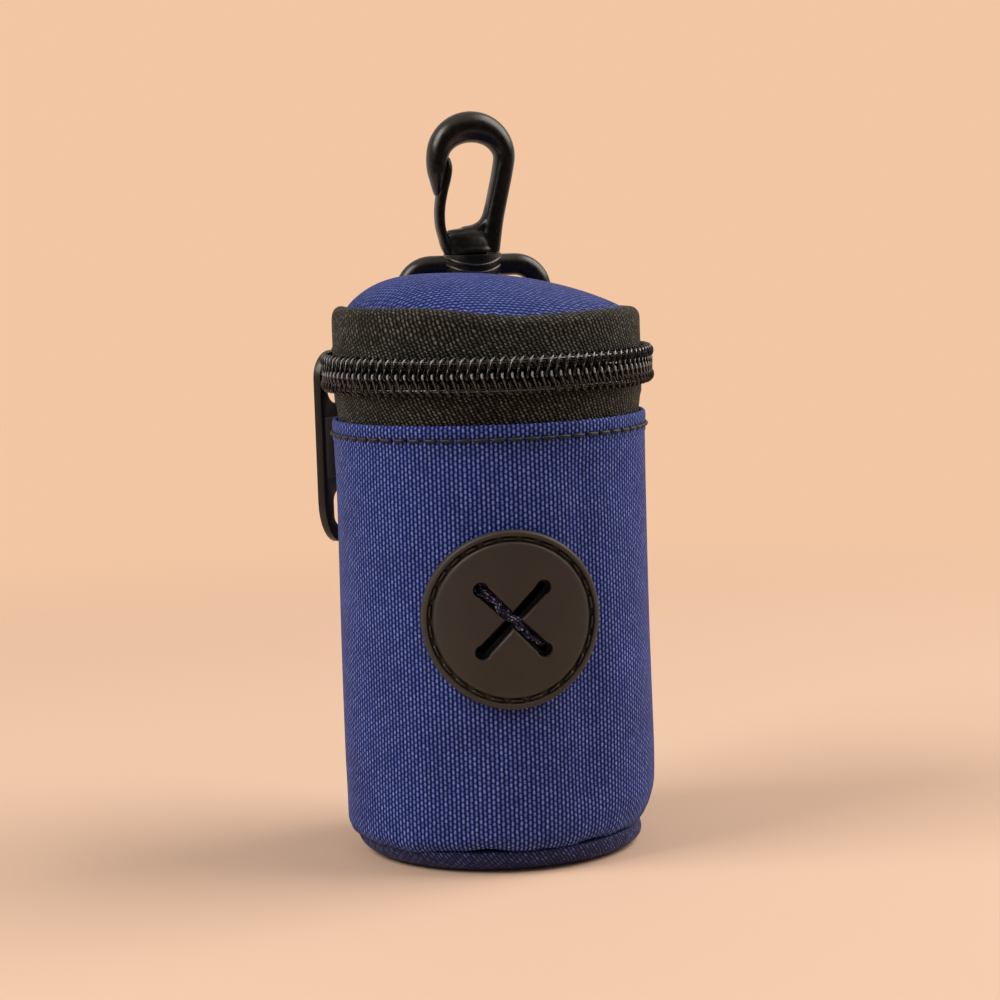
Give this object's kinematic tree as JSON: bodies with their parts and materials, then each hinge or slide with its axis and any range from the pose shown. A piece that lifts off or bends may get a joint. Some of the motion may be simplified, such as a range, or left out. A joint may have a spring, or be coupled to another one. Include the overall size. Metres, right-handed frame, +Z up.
{
  "type": "dog poop bag dispenser",
  "caption": "Zipped round cloth pouch with a swivel snap hook; it holds a roll of waste bags and feeds them out through an X slot in a rubber patch.",
  "frame": {"origin": "centre of the flat foot, on the surface it stands on", "axes": "+Z up the pouch's axis, front with the slot patch towards -Y, hook and loop at the back towards +Y"},
  "size_m": [0.0542, 0.0596, 0.1192],
  "materials": {
    "navy_oxford": "coated oxford weave",
    "lining_cloth": "smooth plain weave",
    "foam": "open-cell foam sheet",
    "board": "plain sheet",
    "black_tape": "herringbone woven tape",
    "webbing": "ribbed woven webbing",
    "zip_coil": "drawn monofilament, satin",
    "patch_rubber": "matt moulded",
    "slider_enamel": "baked black enamel, satin",
    "puller_enamel": "baked black enamel, matt",
    "hook_plastic": "moulded, semi-gloss",
    "bag_film": "thin blown film in a wound roll",
    "core_card": "wound card"
  },
  "bodies": {
    "pouch": {"body_shell": "navy_oxford", "body_foam": "foam", "body_lining": "lining_cloth", "base_panel": "navy_oxford", "base_board": "board", "base_lining": "lining_cloth", "base_binding": "black_tape", "slot_patch": "patch_rubber", "lower_tape": "black_tape", "lower_coil": "zip_coil"},
    "lid": {"lid_panel": "navy_oxford", "lid_foam": "foam", "lid_lining": "lining_cloth", "lid_binding": "black_tape", "upper_tape": "black_tape", "upper_coil": "zip_coil", "back_panel": "navy_oxford", "loop_tab": "webbing"},
    "slider": {"slider_body": "slider_enamel"},
    "puller": {"puller": "puller_enamel"},
    "loop": {"swivel_loop": "hook_plastic"},
    "hook": {"hook_body": "hook_plastic"},
    "gate": {"hook_gate": "hook_plastic"},
    "roll": {"bag_roll": "bag_film", "roll_core": "core_card"}
  },
  "joints": [
    {"name": "slider_travel", "type": "hinge", "parent": "pouch", "child": "slider", "pos_m": [0, 0, 0], "axis": [0, 0, 1], "range_deg": [0, 260], "deforming": ["lower_coil", "upper_coil"]},
    {"name": "lid_hinge", "type": "hinge", "parent": "pouch", "child": "lid", "pos_m": [0, 0.021, 0.0745], "axis": [-1, 0, 0], "range_deg": [0, 75], "deforming": ["back_panel"]},
    {"name": "puller_swing", "type": "hinge", "parent": "slider", "child": "puller", "pos_m": [-0.02398, 0.01653, 0.0775], "axis": [0.766, -0.6428, 0], "range_deg": [-100, 12]},
    {"name": "loop_tilt", "type": "hinge", "parent": "lid", "child": "loop", "pos_m": [0.001, 0.0285, 0.081], "axis": [-1, 0, 0], "range_deg": [0, 90]},
    {"name": "hook_swivel", "type": "hinge", "parent": "loop", "child": "hook", "pos_m": [0.001, 0.0285, 0.081], "axis": [0, -0.0523, 0.9986], "continuous": true},
    {"name": "gate_flex", "type": "hinge", "parent": "hook", "child": "gate", "pos_m": [-0.00376, 0.02703, 0.0979], "axis": [-0.1219, 0.9912, 0.0519], "range_deg": [0, 18], "stiffness_Nm_per_rad": 0.1, "springref_deg": -1.72},
    {"name": "roll_spin", "type": "hinge", "parent": "pouch", "child": "roll", "pos_m": [0, 0, 0], "axis": [0, 0, 1], "continuous": true}
  ],
  "couplings": [
    {"joint": "lid_hinge", "follows": "slider_travel", "ratio": 0.28846}
  ]
}
